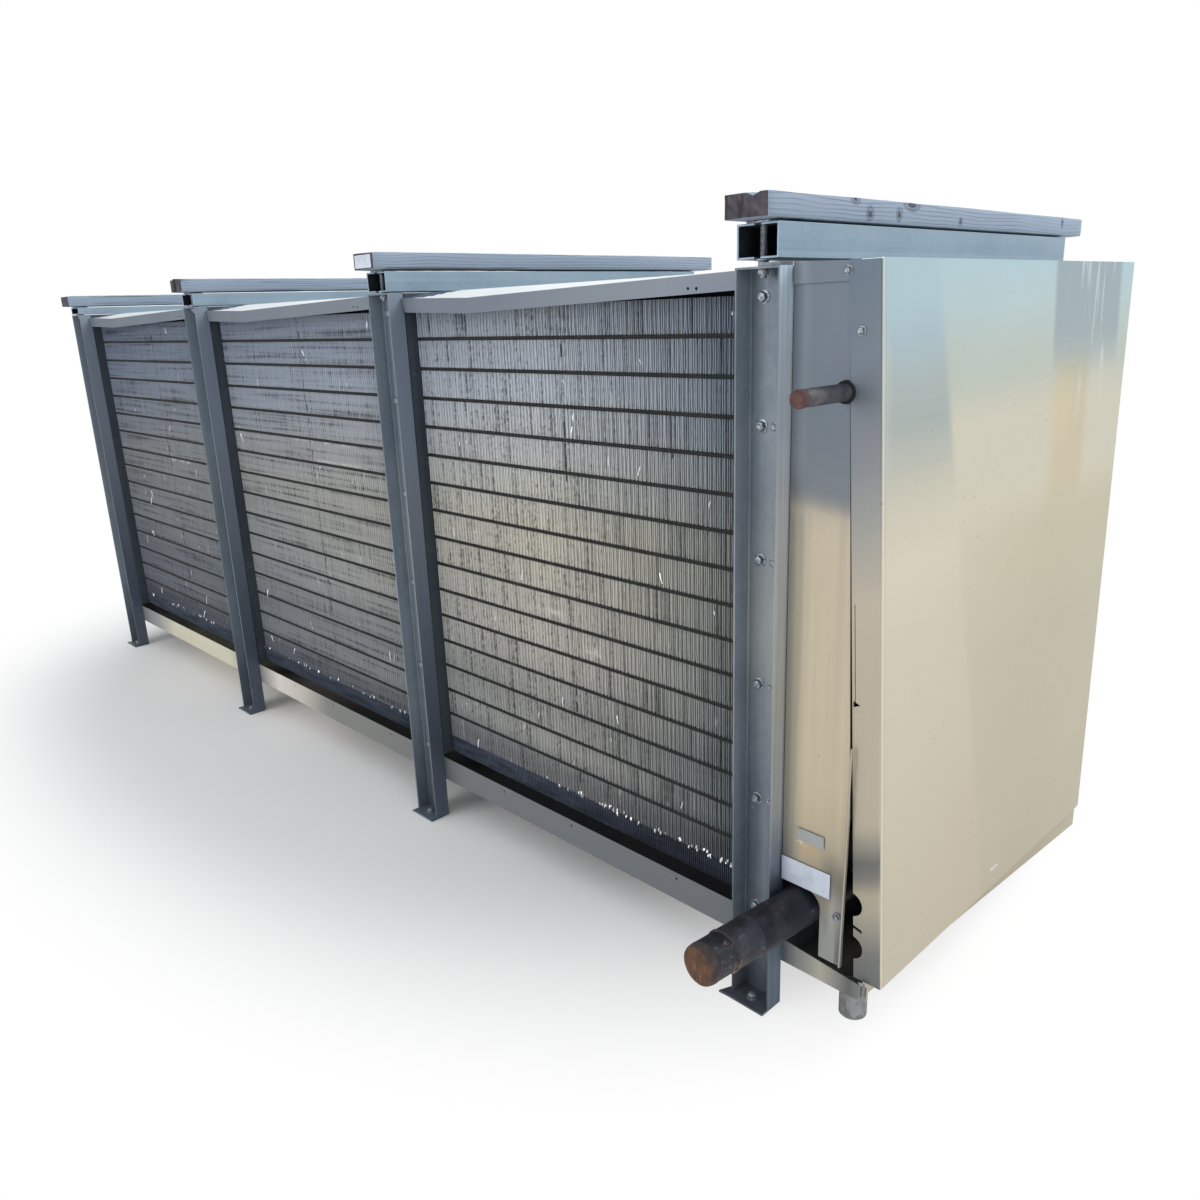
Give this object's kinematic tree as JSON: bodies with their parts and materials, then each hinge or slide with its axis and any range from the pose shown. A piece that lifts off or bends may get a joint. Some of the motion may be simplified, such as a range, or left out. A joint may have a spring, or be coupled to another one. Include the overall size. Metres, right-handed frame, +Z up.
{
  "type": "refrigeration evaporator",
  "caption": "Long floor-standing air cooler with finned coil bays between steel posts, fans behind, a sloped drain pan and a pipe cabinet at one end.",
  "frame": {"origin": "on the floor, under the centre of the box round the whole part", "axes": "+X along the unit towards the pipe cabinet, +Y from the coil face towards the fans, +Z up"},
  "size_m": [4.351, 1.6542, 1.727],
  "materials": {
    "galvanised_steel": "dull galvanised",
    "sheet": "mill finish",
    "fins": "dull, dusty",
    "timber": "weathered, rough sawn",
    "wire": "plated wire",
    "blades": "cast",
    "motor_paint": "satin paint",
    "fasteners": "plated",
    "dark_pipe": "dark primer, rusty cap",
    "rusty_pipe": "red-brown primer"
  },
  "bodies": {
    "root": {"front_post_1": "galvanised_steel", "front_post_2": "galvanised_steel", "front_post_3": "galvanised_steel", "front_post_4": "galvanised_steel", "rear_post_1": "galvanised_steel", "rear_post_2": "galvanised_steel", "rear_post_3": "galvanised_steel", "rear_post_4": "galvanised_steel", "hanger_beam_1": "galvanised_steel", "hanger_beam_2": "galvanised_steel", "hanger_beam_3": "galvanised_steel", "hanger_beam_4": "galvanised_steel", "timber_1": "timber", "timber_2": "timber", "timber_3": "timber", "timber_4": "timber", "coil_1": "fins", "coil_2": "fins", "coil_3": "fins", "top_panel_1": "sheet", "top_panel_2": "sheet", "top_panel_3": "sheet", "fan_panel_1": "sheet", "fan_panel_2": "sheet", "fan_panel_3": "sheet", "fan_guard_1": "wire", "fan_guard_2": "wire", "fan_guard_3": "wire", "fan_rotor_1": "blades", "fan_rotor_2": "blades", "fan_rotor_3": "blades", "fan_motor_1": "motor_paint", "fan_motor_2": "motor_paint", "fan_motor_3": "motor_paint", "tie_rods": "fasteners", "drain_pan": "sheet", "end_drain_pan": "sheet", "front_panel": "sheet", "end_cover": "sheet", "cabinet_top": "sheet", "cabinet_rear": "sheet", "bend_cover": "sheet", "drain_coupling": "fasteners", "suction_line": "dark_pipe", "liquid_line": "rusty_pipe"}
  },
  "joints": []
}
